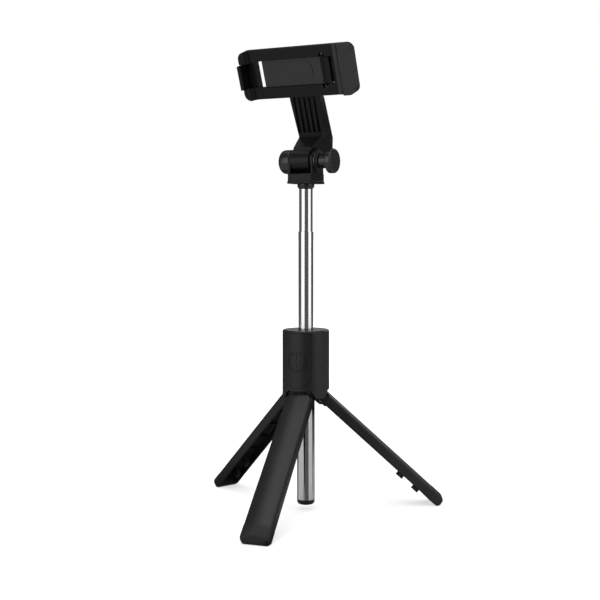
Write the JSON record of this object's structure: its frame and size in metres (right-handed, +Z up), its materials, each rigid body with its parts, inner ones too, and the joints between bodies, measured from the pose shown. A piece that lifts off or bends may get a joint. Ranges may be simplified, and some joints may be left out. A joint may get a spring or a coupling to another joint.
{
  "type": "selfie stick",
  "caption": "Telescopic selfie stick on three folding legs, with a push-button remote in the collar and a spring clamp on a tilting arm.",
  "frame": {"origin": "on the pole's axis at floor level", "axes": "+Z up along the pole, -Y the side that the phone clamp faces, +X along the tilt hinge towards its knob"},
  "size_m": [0.1777, 0.1675, 0.3235],
  "materials": {
    "black_plastic": "satin moulded, dark",
    "black_soft": "matt moulded, dark",
    "chrome": "polished tube",
    "rubber": "matt",
    "nylon": "matt",
    "steel": "bright",
    "board": "solder mask",
    "copper": "plated",
    "lamp": "clear",
    "ferrite": "matt"
  },
  "bodies": {
    "base": {"outer_tube": "chrome", "tube_end_cap": "black_plastic", "collar_shell": "black_plastic", "collar_cap": "black_plastic", "collar_core": "black_soft", "hinge_block": "black_soft", "leg_pins": "steel", "cradle_magnet": "ferrite"},
    "leg_front": {"front_leg": "black_plastic", "front_foot": "rubber"},
    "leg_right": {"right_leg": "black_plastic", "right_foot": "rubber"},
    "leg_left": {"left_leg": "black_plastic", "left_foot": "rubber"},
    "stage_1": {"lower_tube": "chrome", "lower_glide": "nylon"},
    "stage_2": {"middle_tube": "chrome", "middle_glide": "nylon"},
    "stage_3": {"upper_tube": "chrome", "upper_glide": "nylon", "neck": "black_plastic", "neck_bolt": "steel"},
    "head": {"yoke": "black_plastic", "left_cap": "black_plastic", "hinge_nut": "steel", "friction_washer": "nylon", "ear_ring": "black_plastic"},
    "knob": {"tilt_knob": "black_plastic", "hinge_bolt": "steel"},
    "arm_body": {"arm": "black_plastic"},
    "holder": {"holder_frame": "black_plastic", "back_plate": "black_plastic", "grip_pad": "rubber", "swivel_hub": "black_plastic", "swivel_screw": "steel", "left_claw_pin": "steel", "right_claw_pin": "steel", "jaw_springs": "steel"},
    "jaw": {"slide_jaw": "black_plastic", "guide_rods": "steel"},
    "claw_left": {"left_claw": "black_plastic"},
    "claw_right": {"right_claw": "black_plastic"},
    "remote": {"remote_front": "black_plastic", "remote_back": "black_soft", "remote_board": "board", "shutter_switch": "steel", "coin_cell": "steel", "battery_spring": "copper", "status_lamp": "lamp"},
    "shutter": {"shutter_button": "black_plastic"}
  },
  "joints": [
    {"name": "leg_front_fold", "type": "hinge", "parent": "base", "child": "leg_front", "pos_m": [0.00137, -0.0092, 0.07848], "axis": [0.989, 0.1478, 0], "range_deg": [0, 47.3]},
    {"name": "leg_right_fold", "type": "hinge", "parent": "base", "child": "leg_right", "pos_m": [0.00728, 0.00579, 0.07848], "axis": [-0.6225, 0.7826, 0], "range_deg": [0, 47.3]},
    {"name": "leg_left_fold", "type": "hinge", "parent": "base", "child": "leg_left", "pos_m": [-0.00865, 0.00341, 0.07848], "axis": [-0.3665, -0.9304, 0], "range_deg": [0, 47.3]},
    {"name": "tube_1_slide", "type": "slide", "parent": "base", "child": "stage_1", "axis": [0, 0, 1], "range_m": [0, 0.095]},
    {"name": "tube_2_slide", "type": "slide", "parent": "stage_1", "child": "stage_2", "axis": [0, 0, 1], "range_m": [-0.0682, 0.026]},
    {"name": "tube_3_slide", "type": "slide", "parent": "stage_2", "child": "stage_3", "axis": [0, 0, 1], "range_m": [-0.029, 0.055]},
    {"name": "head_turn", "type": "hinge", "parent": "stage_3", "child": "head", "pos_m": [0, 0, 0.2303], "axis": [0, 0, 1], "continuous": true},
    {"name": "knob_turn", "type": "hinge", "parent": "head", "child": "knob", "pos_m": [0, 0, 0.2458], "axis": [1, 0, 0], "range_deg": [-180, 180]},
    {"name": "head_tilt", "type": "hinge", "parent": "head", "child": "arm_body", "pos_m": [0, 0, 0.2458], "axis": [1, 0, 0], "range_deg": [-50, 95]},
    {"name": "clamp_spin", "type": "hinge", "parent": "arm_body", "child": "holder", "pos_m": [-0.001, -0.01203, 0.30588], "axis": [0, 0.9336, 0.3584], "continuous": true},
    {"name": "jaw_slide", "type": "slide", "parent": "holder", "child": "jaw", "axis": [1, 0, 0], "range_m": [0, 0.022], "stiffness_N_per_m": 60, "springref_m": -0.01},
    {"name": "left_claw_fold", "type": "hinge", "parent": "holder", "child": "claw_left", "pos_m": [-0.0415, -0.01156, 0.30606], "axis": [0, -0.3584, 0.9336], "range_deg": [0, 90]},
    {"name": "right_claw_fold", "type": "hinge", "parent": "holder", "child": "claw_right", "pos_m": [0.0196, -0.01044, 0.30649], "axis": [0, 0.3584, -0.9336], "range_deg": [0, 90]},
    {"name": "remote_pull", "type": "slide", "parent": "base", "child": "remote", "axis": [0.0958, -0.9954, 0], "range_m": [0, 0.025]},
    {"name": "shutter_press", "type": "slide", "parent": "remote", "child": "shutter", "axis": [-0.0958, 0.9954, 0], "range_m": [0, 0.00035], "stiffness_N_per_m": 1500}
  ]
}
